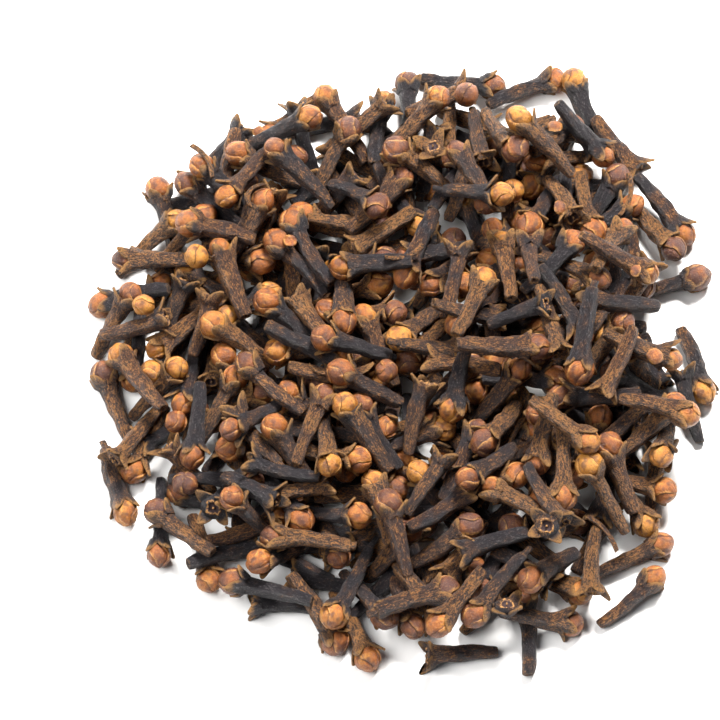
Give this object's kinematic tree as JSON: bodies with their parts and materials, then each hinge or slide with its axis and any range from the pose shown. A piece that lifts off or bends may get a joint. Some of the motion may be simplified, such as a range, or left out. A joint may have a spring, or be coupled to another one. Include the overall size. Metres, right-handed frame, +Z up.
{
  "type": "heap of whole cloves",
  "caption": "Loose low heap of whole dried cloves on a flat underside, stems, calyx stars and round buds standing out at the top and round the uneven rim.",
  "frame": {"origin": "middle of the heap on its flat underside", "axes": "+Z up, +X to the right and +Y away from a viewer who stands where the camera stood"},
  "size_m": [0.1054, 0.1096, 0.0214],
  "materials": {
    "dried_clove": "dry and matt, finely wrinkled"
  },
  "bodies": {
    "root": {"clove_heap": "dried_clove"}
  },
  "joints": []
}
